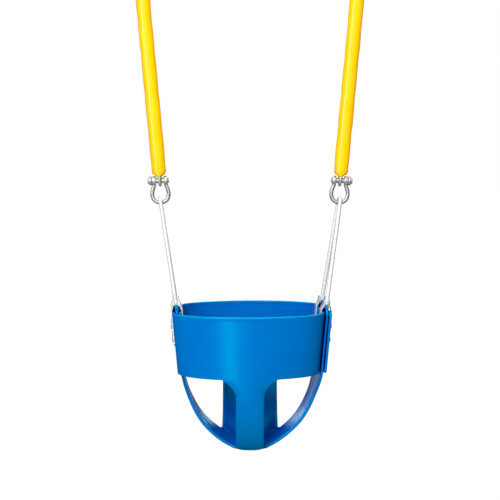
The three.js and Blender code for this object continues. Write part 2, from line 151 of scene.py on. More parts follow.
def noise(tree, scale, detail=4.0, roughness=0.5, stretch=None):
    vector = add(tree, "ShaderNodeTexCoord").outputs["Object"]
    if stretch:
        mapping = add(tree, "ShaderNodeMapping", {"Scale": stretch, "Vector": vector})
        vector = mapping.outputs["Vector"]
    values = {"Scale": scale, "Detail": detail, "Roughness": roughness, "Vector": vector}
    return add(tree, "ShaderNodeTexNoise", values).outputs["Fac"]


def ramp(tree, fac, stops):
    """Colour ramp; stops are (position, colour)."""
    node = add(tree, "ShaderNodeValToRGB", {"Fac": fac})
    elements = node.color_ramp.elements
    while len(elements) < len(stops):
        elements.new(0.5)
    for element, (position, colour) in zip(elements, stops):
        element.position = position
        element.color = (*colour, 1)
    return node.outputs["Color"]


def math_node(tree, operation, first, second):
    return add(tree, "ShaderNodeMath", {0: first, 1: second}, operation=operation).outputs[0]


def mix_colours(tree, first, second, blend_type, factor=1.0):
    values = {"Factor": factor, "A": first, "B": second}
    node = add(tree, "ShaderNodeMix", data_type="RGBA", blend_type=blend_type)
    set_inputs(tree, node, values)
    return node.outputs["Result"]


def bump(tree, height, strength, distance, **inputs):
    values = {"Strength": strength, "Distance": distance, "Height": height, **inputs}
    return add(tree, "ShaderNodeBump", values).outputs["Normal"]


def occlusion(tree, distance):
    return add(tree, "ShaderNodeAmbientOcclusion", {"Distance": distance}, samples=8).outputs["AO"]


def facing(tree):
    return add(tree, "ShaderNodeLayerWeight", {"Blend": 0.5}).outputs["Facing"]


def separate(tree, vector):
    return add(tree, "ShaderNodeSeparateXYZ", {0: vector}).outputs


def add_gloss(tree, shader, inputs):
    """Lay a glossy lobe over a shader."""
    gloss = add(tree, "ShaderNodeBsdfAnisotropic", inputs)
    return add(tree, "ShaderNodeAddShader", {0: shader, 1: gloss.outputs[0]}).outputs[0]


def light_path(tree, output):
    return add(tree, "ShaderNodeLightPath").outputs[output]


# ---- materials ----
def strap_sheen_streaks(tree, view_angle):
    """Mask and colour of a painted reflection: pale streaks of gloss on the inner faces of the two
    side straps, seen only at glancing angles.
    """
    coords = add(tree, "ShaderNodeTexCoord")
    place = separate(tree, coords.outputs["Object"])
    normal = separate(tree, coords.outputs["Normal"])
    # positive where a face far out on either side looks back towards the middle
    inward = math_node(tree, "MULTIPLY", place["X"], normal["X"])
    inward = math_node(tree, "MULTIPLY", inward, -10.0)
    inside = ramp(tree, inward, [(0.45, BLACK), (0.95, WHITE)])
    # fades out between z = 160 and 172 mm
    height = math_node(tree, "MULTIPLY", place["Z"], 5.0)
    below = ramp(tree, height, [(0.80, WHITE), (0.86, BLACK)])
    glance = ramp(tree, view_angle, [(0.40, BLACK), (0.64, WHITE)])
    stripes = noise(tree, scale=1.0, detail=2.0, stretch=(4.0, 150.0, 4.0))
    sheen_streaks = ramp(tree, stripes, [(0.42, (0.08, 0.16, 0.20)), (0.58, (0.85, 1.0, 1.0))])
    mask = math_node(tree, "MULTIPLY", inside, below)
    return math_node(tree, "MULTIPLY", mask, glance), sheen_streaks


def seat_rubber():
    material, tree, skin = new_material("seat_rubber")
    blotches = noise(tree, scale=9.0, detail=3.0)
    grain = noise(tree, scale=900.0, detail=3.0, roughness=0.6)
    mottle = noise(tree, scale=55.0, roughness=0.55)
    colour = ramp(tree, blotches, [(0.3, (0.0, 0.115, 0.450)), (0.7, (0.0, 0.129, 0.490))])
    # a trace paler along worn outer edges
    pointiness = add(tree, "ShaderNodeNewGeometry").outputs["Pointiness"]
    edge = ramp(tree, pointiness, [(0.5, BLACK), (0.58, WHITE)])
    wear = math_node(tree, "MULTIPLY", edge, math_node(tree, "MULTIPLY", mottle, 0.55))
    colour = mix_colours(tree, colour, (0.0, 0.26, 0.66, 1), "MIX", factor=wear)
    # painted shade: an occlusion mask turns the narrow gaps between the lapped layers nearly black
    gap_shade = ramp(tree, occlusion(tree, distance=0.013), [(0.14, (0.0, 0.0, 0.004)), (0.52, WHITE)])
    colour = mix_colours(tree, colour, gap_shade, "MULTIPLY")
    # painted shade: the inside of the seat is darker than its outside
    depth = occlusion(tree, distance=0.17)
    shade = ramp(tree, depth, [(0.45, (0.0, 0.0, 0.42)), (0.90, WHITE)])
    colour = mix_colours(tree, colour, shade, "MULTIPLY")
    roughness = ramp(tree, mottle, [(0.3, grey(0.30)), (0.75, grey(0.38))])
    normal = bump(tree, grain, strength=0.10, distance=0.0004)
    waves = noise(tree, scale=14.0, detail=2.0)
    normal = bump(tree, waves, strength=0.12, distance=0.003, Normal=normal)
    set_inputs(tree, skin, {"Base Color": colour, "Roughness": roughness,
                            "Specular IOR Level": 0.0, "Normal": normal})
    # tinted satin gloss of the skin, dimmed inside the seat by painted shade
    gloss_shade = ramp(tree, depth, [(0.50, (0.12, 0.06, 0.25)), (0.90, WHITE)])
    sheen = mix_colours(tree, gloss_shade, (0.0, 0.140, 0.110, 1), "MULTIPLY")
    satin = {"Color": sheen, "Roughness": 0.26, "Normal": normal}
    shader = add_gloss(tree, skin.outputs[0], satin)
    # faces seen nearly edge-on turn pale
    view_angle = facing(tree)
    rim = ramp(tree, view_angle, [(0.88, BLACK), (0.965, (0.95, 1.0, 1.0))])
    # painted reflection: pale streaked gloss laid only on the inner faces of the straps
    mask, sheen_streaks = strap_sheen_streaks(tree, view_angle)
    shine = mix_colours(tree, rim, sheen_streaks, "ADD", factor=mask)
    shader = add_gloss(tree, shader, {"Color": shine, "Roughness": 0.16})
    tree.links.new(shader, tree.nodes["Material Output"].inputs["Surface"])
    return material


def steel(name, base, roughness, scale, relief, metallic, stretch=None, glow=0.0, edge=0.35):
    """Steel; roughness is (low, high), relief the bump strength, and the colour darkens
    towards the silhouette from the facing value edge on, as painted shade."""
    material, tree, shader = new_material(name)
    grain = noise(tree, scale=scale, detail=5.0, roughness=0.6, stretch=stretch)
    blotches = noise(tree, scale=18.0, detail=3.0)
    colour = ramp(tree, blotches, [(0.3, [v * 0.92 for v in base]), (0.7, base)])
    # painted shade: the colour darkens towards the silhouette
    edge_shade = ramp(tree, facing(tree), [(edge, WHITE), (edge + 0.5, (0.36, 0.38, 0.41))])
    low, high = roughness
    set_inputs(tree, shader, {
        "Base Color": mix_colours(tree, colour, edge_shade, "MULTIPLY"),
        "Roughness": ramp(tree, grain, [(0.3, grey(low)), (0.75, grey(high))]),
        "Metallic": metallic,
        # glow is an emission that paints light onto the steel
        "Emission Color": (0.92, 0.96, 1.0, 1),
        "Emission Strength": glow,
        "Normal": bump(tree, grain, strength=relief, distance=0.0006),
    })
    return material


def sleeve_vinyl():
    material, tree, shader = new_material("sleeve_vinyl")
    # painted shade: yellow, turning orange towards the silhouette
    colour = ramp(tree, facing(tree), [(0.0, (0.84, 0.56, 0.0)), (0.5, (0.84, 0.52, 0.0)),
                                       (0.85, (0.84, 0.27, 0.0))])
    spots = noise(tree, scale=30.0, detail=3.0)
    tint = ramp(tree, spots, [(0.3, (0.97, 0.95, 0.9)), (0.7, WHITE)])
    colour = mix_colours(tree, colour, tint, "MULTIPLY")
    grain = noise(tree, scale=120.0, detail=3.0)
    waves = noise(tree, scale=22.0, detail=2.0)
    set_inputs(tree, shader, {
        "Base Color": colour,
        "Roughness": ramp(tree, grain, [(0.3, grey(0.14)), (0.8, grey(0.20))]),
        "Specular IOR Level": 0.25,
        "Specular Tint": (1.0, 0.30, 1.0, 1),
        # a faint orange emission paints light onto the vinyl
        "Emission Color": (1.0, 0.48, 0.0, 1),
        "Emission Strength": 0.13,
        "Normal": bump(tree, waves, strength=0.25, distance=0.002),
    })
    return material


MATERIALS = {
    "seat_rubber": seat_rubber(),
    # the hanger and plate steel glow a little: painted light
    "hanger_steel": steel("hanger_steel", base=(0.93, 0.94, 0.95), roughness=(0.24, 0.34),
                          scale=90.0, relief=0.04, stretch=(1, 1, 0.1), metallic=0.55, glow=0.12),
    "plate_steel": steel("plate_steel", base=(0.88, 0.89, 0.90), roughness=(0.34, 0.46),
                         scale=120.0, relief=0.06, stretch=(1, 1, 0.15), metallic=0.5, glow=0.06),
    "rivet_steel": steel("rivet_steel", base=(0.82, 0.82, 0.84), roughness=(0.24, 0.36),
                         scale=150.0, relief=0.08, metallic=0.7),
    "shackle_steel": steel("shackle_steel", base=(0.68, 0.68, 0.68), roughness=(0.22, 0.38),
                           scale=220.0, relief=0.22, metallic=0.88, edge=0.32),
    "chain_steel": steel("chain_steel", base=(0.74, 0.74, 0.75), roughness=(0.26, 0.42),
                         scale=160.0, relief=0.10, metallic=0.8),
    "sleeve_vinyl": sleeve_vinyl(),
}


# ---- mesh helpers (millimetres in, metres out) ----
def make_object(name, shape, slot, matrix=None):
    """Object from shape = (vertices, faces), smooth and with its normals outward."""
    verts, faces = shape
    matrix = matrix or Matrix.Identity(4)
    mesh = bpy.data.meshes.new(name)
    mesh.from_pydata([tuple((matrix @ Vector(v)) * MM) for v in verts], [], faces)
    bm = bmesh.new()
    bm.from_mesh(mesh)
    bmesh.ops.recalc_face_normals(bm, faces=bm.faces)
    if bm.calc_volume(signed=True) < 0:
        bmesh.ops.reverse_faces(bm, faces=bm.faces)
    bm.to_mesh(mesh)
    bm.free()
    obj = bpy.data.objects.new(name, mesh)
    bpy.context.scene.collection.objects.link(obj)
    mesh.materials.append(MATERIALS[slot])
    for polygon in mesh.polygons:
        polygon.use_smooth = True
    return obj


def sharp_by_angle(obj, degrees):
    bm = bmesh.new()
    bm.from_mesh(obj.data)
    limit = math.radians(degrees)
    for edge in bm.edges:
        edge.smooth = not (len(edge.link_faces) == 2 and edge.calc_face_angle(0) > limit)
    bm.to_mesh(obj.data)
    bm.free()
    return obj


def finish_piece(obj, body, node):
    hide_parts(node)
    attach(obj, body)


def ring_faces(rings, sides, closed):
    """Quads between successive rings of vertices; closed joins the last ring to the first."""
    faces = []
    for i in range(rings if closed else rings - 1):
        a = i * sides
        b = (i + 1) % rings * sides
        for k in range(sides):
            after = (k + 1) % sides
            faces.append((a + k, a + after, b + after, b + k))
    return faces


def sweep(points, radii, sides, closed, normal):
    """Tube through points that lie in the plane with this normal."""
    count = len(points)
    normal = Vector(normal)
    verts = []
    for i, point in enumerate(points):
        before = points[(i - 1) % count if closed else max(i - 1, 0)]
        after = points[(i + 1) % count if closed else min(i + 1, count - 1)]
        across = (after - before).normalized().cross(normal).normalized()
        for k in range(sides):
            angle = 2 * math.pi * k / sides
            verts.append(point + normal * (radii[i] * math.cos(angle))
                         + across * (radii[i] * math.sin(angle)))
    faces = ring_faces(count, sides, closed)
    if not closed:
        faces.append(tuple(range(sides))[::-1])
        faces.append(tuple((count - 1) * sides + k for k in range(sides)))
    return verts, faces


def lathe_x(profile, sides):
    """Solid turned about X from (r, x) pairs that start and end on the axis."""
    verts, faces, rings = [], [], []
    for r, x in profile:
        if r < 1e-6:
            rings.append([len(verts)])
            verts.append(Vector((x, 0, 0)))
        else:
            rings.append(list(range(len(verts), len(verts) + sides)))
            angles = [2 * math.pi * k / sides for k in range(sides)]
            verts += [Vector((x, r * math.cos(a), r * math.sin(a))) for a in angles]
    for a, b in zip(rings, rings[1:]):
        for k in range(sides):
            quad = (a[k % len(a)], a[(k + 1) % len(a)], b[(k + 1) % len(b)], b[k % len(b)])
            face = tuple(dict.fromkeys(quad))
            if len(face) > 2:
                faces.append(face)
    return verts, faces


def cylinder_x(radius, half_length, sides):
    return lathe_x([(0, -half_length), (radius, -half_length),
                    (radius, half_length), (0, half_length)], sides)


def spline(controls, per_span):
    """Centripetal Catmull-Rom curve through the control points."""
    P = [Vector(c) for c in controls]
    P = [P[0] * 2 - P[1]] + P + [P[-1] * 2 - P[-2]]
    out = []
    for i in range(1, len(P) - 2):
        p0, p1, p2, p3 = P[i - 1:i + 3]
        knots = [0.0]
        for a, b in ((p0, p1), (p1, p2), (p2, p3)):
            knots.append(knots[-1] + max((b - a).length, 1e-6) ** 0.5)
        t0, t1, t2, t3 = knots
        for k in range(per_span):
            u = t1 + (t2 - t1) * k / per_span
            a1 = p0 * ((t1 - u) / (t1 - t0)) + p1 * ((u - t0) / (t1 - t0))
            a2 = p1 * ((t2 - u) / (t2 - t1)) + p2 * ((u - t1) / (t2 - t1))
            a3 = p2 * ((t3 - u) / (t3 - t2)) + p3 * ((u - t2) / (t3 - t2))
            b1 = a1 * ((t2 - u) / (t2 - t0)) + a2 * ((u - t0) / (t2 - t0))
            b2 = a2 * ((t3 - u) / (t3 - t1)) + a3 * ((u - t1) / (t3 - t1))
            out.append(b1 * ((t2 - u) / (t2 - t1)) + b2 * ((u - t1) / (t2 - t1)))
    out.append(P[-2].copy())
    return out


def boolean(base, others, operation):
    for other in others:
        before = len(base.data.vertices)
        # guards against a solver that loses much of the mesh: the next one is then tried
        for solver in ("EXACT", "FAST"):
            modifier = base.modifiers.new("b", "BOOLEAN")
            modifier.operation = operation
            modifier.object = other
            modifier.solver = solver
            bpy.context.view_layer.update()
            evaluated = base.evaluated_get(bpy.context.evaluated_depsgraph_get())
            mesh = bpy.data.meshes.new_from_object(evaluated)
            base.modifiers.clear()
            if len(mesh.vertices) > 0.8 * before:
                base.data = mesh
                break
        bpy.data.objects.remove(other)


# ---- the rubber moulding: mid surface ----
# right half of the U-shaped strap seen from the front: x, z
U_CONTROLS = [(0, 3.2), (20, 3.9), (35, 6.8), (52, 14.9), (70.5, 27.6), (89.6, 44.2),
              (108.8, 66.8), (126.9, 100), (139.2, 134), (145.6, 161)]
U_MIRRORED = [(-x, 0, z) for x, z in reversed(U_CONTROLS[1:4])]
U_DENSE = spline(U_MIRRORED + [(x, 0, z) for x, z in U_CONTROLS], per_span=60)
U_DENSE = [p for p in U_DENSE if p.x >= -1e-6]

# columns across half a stem foot; the strap has stations at the same x, so that they weld
FRONT_FOOT = FRONT_STEM_HALF + STEM_FOOT
BACK_FOOT = BACK_STEM_HALF + STEM_FOOT
FRONT_XS = [FRONT_FOOT * i / 9 for i in range(10)]
BACK_XS = FRONT_XS + [FRONT_FOOT + (BACK_FOOT - FRONT_FOOT) * i / 8 for i in range(1, 9)]

# rows down a band, as distance below the rim
BAND_HEIGHT = RIM_Z - BAND_BOTTOM_Z
BAND_DROPS = [0, 3.3, 5.4, 8.0, 11, 16, 22, 30, 40, 50, 60, 70, 80, 90, 99, 106, 112, 117,
              120.5, 123.6, BAND_HEIGHT]
LAP_COLUMNS = 20
BEND_STEPS = 22
LAP_CORNER_R = 9.0
# rows down a stem, as curve parameter from the band to the strap
STEM_TS = [0, 0.008, 0.018, 0.03, 0.045, 0.062, 0.08, 0.1, 0.122, 0.146, 0.172, 0.2, 0.24, 0.29,
           0.34, 0.4, 0.46, 0.52, 0.58, 0.64, 0.7, 0.76, 0.82, 0.87, 0.91, 0.94, 0.965, 0.985, 1]
STEM_HANDLE_Y = -76         # curve handle near the strap
STEM_HANDLE_Z = 85          # curve handle near the band
STRAP_FLARE_Z = 110         # the strap widens from here up to the band
STRAP_COLUMNS = 24


def z_at(x):
    """Height of the U at x."""
    x = abs(x)
    for a, b in zip(U_DENSE, U_DENSE[1:]):
        if b.x >= x:
            part = (x - a.x) / max(b.x - a.x, 1e-9)
            return a.z + part * (b.z - a.z)
    return U_DENSE[-1].z


def side_x(z):
    return RIM_HALF + (z - RIM_Z) * SIDE_SLOPE


def smooth(t):
    return t * t * (3 - 2 * t)


def clamp(t):
    return min(1.0, max(0.0, t))


def skewed(p):
    """The skew of the laps, faded out towards the stems."""
    return (p[0] - SKEW * p[1] * smooth(clamp((abs(p[0]) - 62) / 80)), p[1], p[2])


def corner(d, r):
    """How far a rounded corner of radius r pulls in at distance d from the edge."""
    return r - math.sqrt(max(0.0, r * r - (r - d) ** 2)) if d < r else 0.0


def bezier(p, t):
    return (p[0] * (1 - t) ** 3 + 3 * p[1] * t * (1 - t) ** 2
            + 3 * p[2] * t * t * (1 - t) + p[3] * t**3)


def band_y(x, z):
    flat = FLAT_OUT if x + LAYER < 0 else FLAT_IN
    round_off = math.sqrt(max(0.0, 1 - ((x + LAYER) / side_x(z)) ** 2))
    return -(flat + (BAND_HALF_DEPTH - flat) * round_off)


def grid_quads(rows):
    return [(a[i], a[i + 1], b[i + 1], b[i])
            for a, b in zip(rows, rows[1:]) for i in range(len(a) - 1)]


def band_row(drop, middle_xs):
    """Front band at one height: left lap (outside the strap), front, right lap (inside it)."""
    z = RIM_Z - drop
    a = side_x(z)
    end = LAP_END - corner(min(drop + 0.8, BAND_HEIGHT - drop + 0.8), LAP_CORNER_R)

    def bend(angle, flat):
        y = -(flat + (BAND_HALF_DEPTH - flat) * math.sin(angle))
        return (-LAYER + a * math.cos(angle), y, z)

    left = math.acos((middle_xs[0] + LAYER) / a)
    right = math.acos((middle_xs[-1] + LAYER) / a)
    row = [(-a - LAYER, end - (end + FLAT_OUT) * i / LAP_COLUMNS, z)
           for i in range(LAP_COLUMNS + 1)]
    row += [bend(math.pi - (math.pi - left) * i / BEND_STEPS, FLAT_OUT)
            for i in range(1, BEND_STEPS)]
    row += [(x, band_y(x, z), z) for x in middle_xs]
    row += [bend(right * (1 - i / BEND_STEPS), FLAT_IN) for i in range(1, BEND_STEPS)]
    row += [(a - LAYER, -FLAT_IN + (end + FLAT_IN) * i / LAP_COLUMNS, z)
            for i in range(LAP_COLUMNS + 1)]
    return row


def band_and_stem(stem_half, half_xs, fillet_width, fillet_depth):
    """Quads of a band and its stem, laid out as for the front; the fillet is under the band."""
    columns = [x / half_xs[-1] for x in [-x for x in reversed(half_xs[1:])] + half_xs]
    top_half = stem_half + fillet_width
    middle_xs = [c * top_half for c in columns]
    quads = grid_quads([band_row(drop, middle_xs) for drop in BAND_DROPS])
    stem = []
    for t in STEM_TS:
        drop = BAND_BOTTOM_Z - bezier((BAND_BOTTOM_Z, STEM_HANDLE_Z, z_at(0), z_at(0)), t)
        centre_y = bezier((-BAND_HALF_DEPTH, -BAND_HALF_DEPTH, STEM_HANDLE_Y, -STRAP_HALF), t)
        half = stem_half
        if drop < fillet_depth:
            half += fillet_width * (1 - drop / fillet_depth) ** 1.9
        half += corner(abs(centre_y + STRAP_HALF), STEM_FOOT)
        row = []
        for c in columns:
            top_y = band_y(c * top_half, BAND_BOTTOM_Z)
            foot_z = z_at(c * (stem_half + STEM_FOOT))
            row.append((c * half, bezier((top_y, top_y, STEM_HANDLE_Y, -STRAP_HALF), t),
                        bezier((BAND_BOTTOM_Z, STEM_HANDLE_Z, foot_z, foot_z), t)))
        stem.append(row)
    return quads + grid_quads(stem)


def strap_half_width(z):
    if z <= STRAP_FLARE_Z:
        return STRAP_HALF
    if z < BAND_BOTTOM_Z:
        t = (z - STRAP_FLARE_Z) / (BAND_BOTTOM_Z - STRAP_FLARE_Z)
        return STRAP_HALF + (STRAP_LAP_HALF - STRAP_HALF) * smooth(t)
    if z <= RIM_Z - 2:
        return STRAP_LAP_HALF
    narrowing = (STRAP_LAP_HALF - TENT_HALF) * min(1.0, (z - RIM_Z + 2) / 5)
    return STRAP_LAP_HALF - narrowing - corner(TENT_Z + 0.6 - z, 7.0)


def strap():
    """Quads of the U-shaped strap from its left top to its right top."""
    half = [(x, z_at(x)) for x in BACK_XS]
    for p in U_DENSE:
        x, z = half[-1]
        if p.x > BACK_FOOT + 2.5 and math.hypot(p.x - x, p.z - z) >= 4.5:
            half.append((p.x, p.z))
    side_zs = [BAND_BOTTOM_Z + (290 - BAND_BOTTOM_Z) * i / 26 for i in range(27)]
    side_zs += [RIM_Z, 294, 296, 298, 300, 302.6, TENT_Z]
    half = [(x, z) for x, z in half if z < BAND_BOTTOM_Z - 2.5] + [(side_x(z), z) for z in side_zs]
    rows = []
    for x, z in [(-x, z) for x, z in reversed(half[1:])] + half:
        width = strap_half_width(z)
        rows.append([(x, -width + 2 * width * i / STRAP_COLUMNS, z)
                     for i in range(STRAP_COLUMNS + 1)])
    return grid_quads(rows)


# ---- the rubber moulding: thickness and edges ----
SEAT_CENTRE = Vector((0, 0, 170))
EDGE_R = 2.6
EDGE_STEPS = 4
RIB_DEPTH = 0.45
RIB_PITCH = 12.0


def bead(p):
    """Rolled rim: a little thicker at the top, faded out where the layers lap."""
    if not BAND_BOTTOM_Z < p.z <= RIM_Z + 0.01:
        return 0.0
    fade = clamp((abs(p.y) - FLAT_OUT - 4) / 22)
    return 1.1 * smooth(max(0.0, 1 - (RIM_Z - p.z) / 9.0)) * fade


def rib(p):
    """Depth of the lengthwise grooves on the inner face of the strap's sides."""
    if p.z > BAND_BOTTOM_Z - 8 or abs(p.x) < BACK_STEM_HALF + 12 or abs(p.y) >= STRAP_HALF - 4:
        return 0.0
    return RIB_DEPTH * max(0.0, math.cos(2 * math.pi * p.y / RIB_PITCH))


def face_normal(points, face):
    """Unscaled normal of a quad or a triangle."""
    a, b, c, d = (points[face[i % len(face)]] for i in range(4))
    return (c - a).cross(d - b)


def weld(quads, strap_from):
    """Join quads into points and outward faces; also tells which points only the strap uses."""
    ids, points, faces, only_strap = {}, [], [], {}
    for number, quad in enumerate(quads):
        face = []
        for p in map(skewed, quad):
            key = tuple(round(v * 200) for v in p)
            if key not in ids:
                ids[key] = len(points)
                points.append(Vector(p))
            face.append(ids[key])
        face = list(dict.fromkeys(face))
        if len(face) < 3:
            continue
        middle = sum((points[i] for i in face), Vector()) / len(face)
        if face_normal(points, face).dot(middle - SEAT_CENTRE) < 0:
            face.reverse()
        faces.append(face)
        for v in face:
            only_strap[v] = only_strap.get(v, True) and number >= strap_from
    return points, faces, only_strap


def point_normals(points, faces):
    normals = [Vector() for _ in points]
    for face in faces:
        normal = face_normal(points, face).normalized()
        for i in face:
            normals[i] += normal
    for normal in normals:
        normal.normalize()
    return normals


def open_edges(points, faces, normals):
    """Boundary edges, and at each of their points the in-surface direction off the edge."""
    edges = {}
    for face in faces:
        for a, b in zip(face, face[1:] + face[:1]):
            if (b, a) in edges:
                del edges[(b, a)]
            else:
                edges[(a, b)] = True
    off = {}
    for a, b in edges:
        along = (points[b] - points[a]).normalized()
        for v in (a, b):
            off[v] = off.get(v, Vector()) + along.cross(normals[v])
    for direction in off.values():
        direction.normalize()
    return edges, off


def seat_shape():
    """The mid surface thickened both ways, with rounded edges."""
    quads = band_and_stem(FRONT_STEM_HALF, FRONT_XS, fillet_width=28, fillet_depth=36)
    back = band_and_stem(BACK_STEM_HALF, BACK_XS, fillet_width=22, fillet_depth=40)
    quads += [tuple((-x, -y, z) for x, y, z in quad) for quad in back]
    points, mid_faces, only_strap = weld(quads + strap(), strap_from=len(quads))
    normals = point_normals(points, mid_faces)
    edges, off = open_edges(points, mid_faces, normals)
    half, count = RUBBER_T / 2, len(points)
    verts, faces = [], []
    for side in (1, -1):
        for i, p in enumerate(points):
            groove = rib(p) if side < 0 and only_strap.get(i) else 0
            q = p + normals[i] * (side * (half + bead(p) - groove))
            if i in off:
                q = q - off[i] * EDGE_R
            verts.append(q)
    for face in mid_faces:
        faces.append(tuple(face))
        faces.append(tuple(count + v for v in reversed(face)))
    # a rounded section at every boundary point, from the outer face round to the inner
    sections = {}
    for v in off:
        ids = [v]
        flat = half + bead(points[v]) - EDGE_R
        for side in (1, -1):
            for k in range(1, EDGE_STEPS + 1)[::side]:
                angle = (math.pi / 2) * k / EDGE_STEPS
                verts.append(points[v] + normals[v] * (side * (flat + EDGE_R * math.cos(angle)))
                             - off[v] * EDGE_R + off[v] * (EDGE_R * math.sin(angle)))
                ids.append(len(verts) - 1)
        ids.append(count + v)
        sections[v] = ids
    for a, b in edges:
        sa, sb = sections[a], sections[b]
        for k in range(len(sa) - 1):
            faces.append((sb[k], sa[k], sa[k + 1], sb[k + 1]))
    return verts, faces


def slot_shape():
    """Cutter for a hanger foot, round at the bottom and open at the top."""
    angles = [-math.pi * i / 12 for i in range(13)]
    top = 26
    outline = [(SLOT_R, top)]
    outline += [(SLOT_R * math.cos(a), SLOT_Z + SLOT_R + SLOT_R * math.sin(a)) for a in angles]
    outline += [(-SLOT_R, top)]
    n = len(outline)
    verts = [(x, y, z) for x in (-11, 11) for y, z in outline]
    faces = [tuple(range(n)), tuple(n + i for i in reversed(range(n)))]
    faces += [(i, (i + 1) % n, n + (i + 1) % n, n + i) for i in range(n)]
    return verts, faces


def side_turn(side):
    return Matrix.Identity(4) if side == "right" else turn(math.pi, "Z")


def lap_frame(side):
    return side_turn(side) @ move(RIM_HALF, 0, RIM_Z) @ LAP_TURN


def seat_cutters():
    """Rivet holes and hanger slots through the laps."""
    cutters = []
    for side in ("left", "right"):
        lap = lap_frame(side)
        for y in (-RIVET_Y, RIVET_Y):
            for z in RIVET_ZS:
                hole = cylinder_x(RIVET_R + HOLE_CLEARANCE, half_length=20, sides=24)
                cutters.append(make_object("cut", hole, "seat_rubber", lap @ move(0, y, z)))
            cutters.append(make_object("cut", slot_shape(), "seat_rubber", lap @ move(0, y, 0)))
    return cutters


seat = make_object("seat_body", seat_shape(), "seat_rubber")
boolean(seat, seat_cutters(), "DIFFERENCE")
finish_piece(seat, "seat", "seat_moulding")


# ---- metal and sleeves ----
def arc_yz(centre_z, radius, start, end, steps):
    angles = [start + (end - start) * i / steps for i in range(steps + 1)]
    return [Vector((0, radius * math.cos(a), centre_z + radius * math.sin(a))) for a in angles]


def hanger(name, matrix):
    """Bent rod: two legs from the laps up to a loop centred on the frame's origin."""
    foot = -(BOW_AXIS[1] - HANGER_FOOT_Z) / math.cos(HANG_TILT)
    loop_r = 10.6
    bend_y, bend_z = RIVET_Y - 0.3, foot + 22
    leg = [Vector((0, RIVET_Y, foot)), Vector((0, RIVET_Y - 0.1, foot + 10)),
           Vector((0, bend_y, bend_z))]
    leg += [Vector((0, bend_y - (bend_y - loop_r) * part, bend_z * (1 - part)))
            for part in (0.06, 0.2, 0.4, 0.6, 0.8, 0.93)]
    points = leg + arc_yz(0, loop_r, 0, math.pi, 26)
    points += [Vector((0, -p.y, p.z)) for p in reversed(leg)]
    radii = [ROD_R] * len(points)
    radii[0] = radii[-1] = ROD_R - 0.7
    rod = sweep(points, radii, sides=24, closed=False, normal=(1, 0, 0))
    return sharp_by_angle(make_object(name, rod, "hanger_steel", matrix), 40)


# centre line of half a shackle bow, from its ear down to the middle: x, z from the pin
BOW_HALF = [(12.5, -2), (12.9, -10), (16.4, -20), (17.6, -30), (13.6, -41.5), (0, -47.8)]
EAR_CHAMFER = 1.1


def bow(name, matrix):
    """Shackle bow hanging from a pin along X, with an ear round the pin at each end."""
    controls = BOW_HALF + [(-x, z) for x, z in reversed(BOW_HALF[:-1])]
    points = spline([(x, 0, z) for x, z in controls], per_span=7)
    rod = sweep(points, [BOW_R] * len(points), sides=22, closed=False, normal=(0, 1, 0))
    obj = make_object(name, rod, "shackle_steel", matrix)
    c = EAR_CHAMFER
    ears = []
    for x0, x1 in ((-EAR_OUT, -EAR_IN), (EAR_IN, EAR_OUT)):
        profile = [(0, x0), (EAR_R - c, x0), (EAR_R - 0.3 * c, x0 + 0.3 * c), (EAR_R, x0 + c),
                   (EAR_R, x1 - c), (EAR_R - 0.3 * c, x1 - 0.3 * c), (EAR_R - c, x1), (0, x1)]
        ears.append(make_object("ear", lathe_x(profile, 40), "shackle_steel", matrix))
    boolean(obj, ears, "UNION")
    hole = cylinder_x(PIN_R + HOLE_CLEARANCE, half_length=30, sides=36)
    boolean(obj, [make_object("hole", hole, "shackle_steel", matrix)], "DIFFERENCE")
    return sharp_by_angle(obj, 38)


# pin head: radius, x from the ear's outer face
PIN_HEAD = [(PIN_R, 0.4), (8.7, 0.4), (9.3, 0.7), (9.7, 1.4), (9.7, 4.8), (9.4, 5.4), (8.8, 5.8),
            (7.0, 6.0), (6.6, 6.4), (6.6, 8.4), (6.3, 9.0), (5.8, 9.4), (0, 9.4)]
THREAD_START, THREAD_PITCH, THREAD_CRESTS = -18.7, 1.25, 7


def pin(name, matrix):
    """Shackle pin along X: threaded at the -X end, head at the +X end."""
    profile = [(0, -19.5), (PIN_R - 1, -19.5), (PIN_R - 0.5, -19.1)]
    for i in range(THREAD_CRESTS):
        x = THREAD_START + i * THREAD_PITCH
        profile += [(PIN_R - 0.55, x), (PIN_R, x + 0.45), (PIN_R, x + 0.7)]
    profile += [(PIN_R, -9)] + [(r, EAR_OUT + x) for r, x in PIN_HEAD]
    return sharp_by_angle(make_object(name, lathe_x(profile, 40), "shackle_steel", matrix), 34)


def link_shape(arc_steps, sides, straight_parts=()):
    """Link in the YZ plane, its lower bend centred on the origin."""
    points = arc_yz(0, LINK_R, math.pi, 2 * math.pi, arc_steps)
    points += [Vector((0, LINK_R, LINK_STRAIGHT * part)) for part in straight_parts]
    points += arc_yz(LINK_STRAIGHT, LINK_R, 0, math.pi, arc_steps)
    points += [Vector((0, -LINK_R, LINK_STRAIGHT * part)) for part in reversed(straight_parts)]
    return sweep(points, [WIRE_R] * len(points), sides, closed=True, normal=(1, 0, 0))


def inner_links(name, matrix):
    """The run of links inside the sleeve, between its lowest and highest full links."""
    z0, z1, count = FIRST_LINK + LINK_STEP, LAST_LINK - 2 * LINK_STEP, 19
    link_verts, link_faces = link_shape(arc_steps=9, sides=12)
    verts, faces = [], []
    for i in range(1, count):
        place = move(0, 0, z0 + (z1 - z0) * i / count)
        if i % 2 == 0:
            place = place @ QUARTER_TURN
        faces += [tuple(len(verts) + v for v in face) for face in link_faces]
        verts += [place @ p for p in link_verts]
    return make_object(name, (verts, faces), "chain_steel", matrix)


